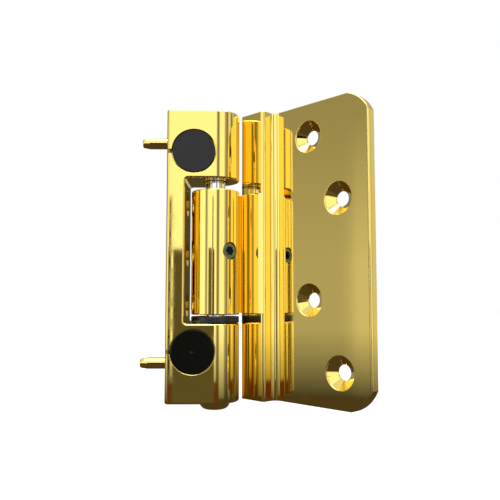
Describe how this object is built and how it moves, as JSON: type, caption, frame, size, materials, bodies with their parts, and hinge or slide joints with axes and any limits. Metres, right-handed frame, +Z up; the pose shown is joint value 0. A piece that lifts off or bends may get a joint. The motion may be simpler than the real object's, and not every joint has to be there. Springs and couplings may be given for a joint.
{
  "type": "door hinge",
  "caption": "Gold height-adjustable butt hinge: C-shaped frame bracket with a steel pin, and a knuckle with a proud bar and a flat countersunk door leaf.",
  "frame": {"origin": "on the bracket's mounting face, at its mid height, 3.4 mm behind its front face", "axes": "+Z up along the hinge pin, -Y towards the front that shows the caps, +X from the mounting face towards the pin and the door"},
  "size_m": [0.0764, 0.0407, 0.1034],
  "materials": {
    "polished_gold": "mirror polished, gold plated",
    "pin_steel": "bright ground steel",
    "dark_steel": "blackened, oiled steel",
    "cap_plastic": "satin black moulded plastic",
    "black_nylon": "black nylon, slight sheen"
  },
  "bodies": {
    "bracket": {"frame_bracket": "polished_gold", "upper_spigot": "polished_gold", "lower_spigot": "polished_gold", "upper_bush": "black_nylon", "lower_bush": "black_nylon", "thrust_washer": "black_nylon", "top_plug": "polished_gold"},
    "adjuster": {"height_adjuster": "polished_gold"},
    "leaf": {"hinge_pin": "pin_steel", "door_leaf": "polished_gold"},
    "grub": {"grub_screw": "dark_steel"},
    "upper_clamp": {"upper_clamp_screw": "dark_steel"},
    "lower_clamp": {"lower_clamp_screw": "dark_steel"},
    "upper_cap": {"upper_cap": "cap_plastic"},
    "lower_cap": {"lower_cap": "cap_plastic"}
  },
  "joints": [
    {"name": "height_adjust", "type": "slide", "parent": "bracket", "child": "adjuster", "axis": [0, 0, 1], "range_m": [0, 0.0025]},
    {"name": "leaf_swing", "type": "hinge", "parent": "adjuster", "child": "leaf", "pos_m": [0.01645, 0.005, 0], "axis": [0, 0, 1], "range_deg": [-123.5, 46.5]},
    {"name": "grub_turn", "type": "hinge", "parent": "leaf", "child": "grub", "pos_m": [0.01645, 0.005, 0.0013], "axis": [0.6494, -0.7604, 0], "continuous": true},
    {"name": "upper_clamp_turn", "type": "hinge", "parent": "bracket", "child": "upper_clamp", "pos_m": [0.00925, 0.005, 0.03545], "axis": [0, 1, 0], "continuous": true},
    {"name": "lower_clamp_turn", "type": "hinge", "parent": "bracket", "child": "lower_clamp", "pos_m": [0.00925, 0.005, -0.0327], "axis": [0, 1, 0], "continuous": true},
    {"name": "upper_cap_pull", "type": "slide", "parent": "bracket", "child": "upper_cap", "axis": [0, -1, 0], "range_m": [0, 0.006]},
    {"name": "lower_cap_pull", "type": "slide", "parent": "bracket", "child": "lower_cap", "axis": [0, -1, 0], "range_m": [0, 0.006]}
  ]
}
